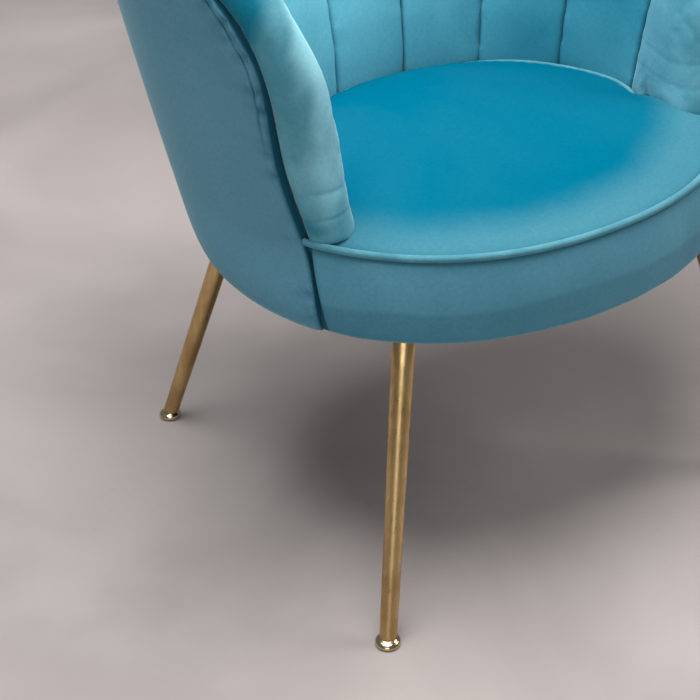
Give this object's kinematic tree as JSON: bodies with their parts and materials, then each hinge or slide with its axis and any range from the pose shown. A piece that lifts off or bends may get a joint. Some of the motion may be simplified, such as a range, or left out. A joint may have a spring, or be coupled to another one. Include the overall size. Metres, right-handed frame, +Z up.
{
  "type": "upholstered armchair",
  "caption": "Low tub armchair: round fixed seat with piped edge, flared back of upright padded channels with rounded tops, padded arm fronts, splayed tapered metal legs.",
  "frame": {"origin": "on the floor, under the middle of the chair's bounding box", "axes": "+Z up, -Y towards the front of the seat, +X to the right of a person facing the chair"},
  "size_m": [0.7498, 0.6148, 0.7814],
  "materials": {
    "velvet": "teal short-pile velvet with a soft sheen and directional nap",
    "leg_metal": "satin, lightly brushed brass-coloured plating",
    "steel": "plain zinc-plated",
    "plywood": "unfinished plywood",
    "foam": "open-cell upholstery foam",
    "webbing": "woven elastic webbing",
    "lining": "black non-woven dust cover"
  },
  "bodies": {
    "root": {"leg_tube_front_right": "leg_metal", "leg_glide_front_right": "leg_metal", "leg_plate_front_right": "steel", "leg_tube_front_left": "leg_metal", "leg_glide_front_left": "leg_metal", "leg_plate_front_left": "steel", "leg_tube_rear_right": "leg_metal", "leg_glide_rear_right": "leg_metal", "leg_plate_rear_right": "steel", "leg_tube_rear_left": "leg_metal", "leg_glide_rear_left": "leg_metal", "leg_plate_rear_left": "steel", "base_ring_lower": "plywood", "base_ring_upper": "plywood", "back_lower_rail": "plywood", "back_top_rail": "plywood", "arm_post_right": "plywood", "arm_post_left": "plywood", "corner_block_front_right": "plywood", "corner_block_front_left": "plywood", "corner_block_rear_right": "plywood", "corner_block_rear_left": "plywood", "back_upright_1": "plywood", "back_upright_2": "plywood", "back_upright_3": "plywood", "back_upright_4": "plywood", "back_upright_5": "plywood", "dust_cover": "lining", "seat_webbing_long_1": "webbing", "seat_webbing_cross_1": "webbing", "seat_webbing_long_2": "webbing", "seat_webbing_cross_2": "webbing", "seat_webbing_long_3": "webbing", "seat_webbing_cross_3": "webbing", "back_webbing_1": "webbing", "back_webbing_2": "webbing", "seat_foam": "foam", "front_band_wadding": "foam", "seat_cover": "velvet", "seat_piping": "velvet", "front_band_cover": "velvet", "channel_pad_1": "velvet", "channel_pad_2": "velvet", "channel_pad_3": "velvet", "channel_pad_4": "velvet", "channel_pad_5": "velvet", "channel_pad_6": "velvet", "channel_pad_7": "velvet", "arm_roll_right": "velvet", "arm_roll_left": "velvet", "outer_cover": "velvet", "tack_strip_right": "steel", "tack_strip_left": "steel"}
  },
  "joints": []
}
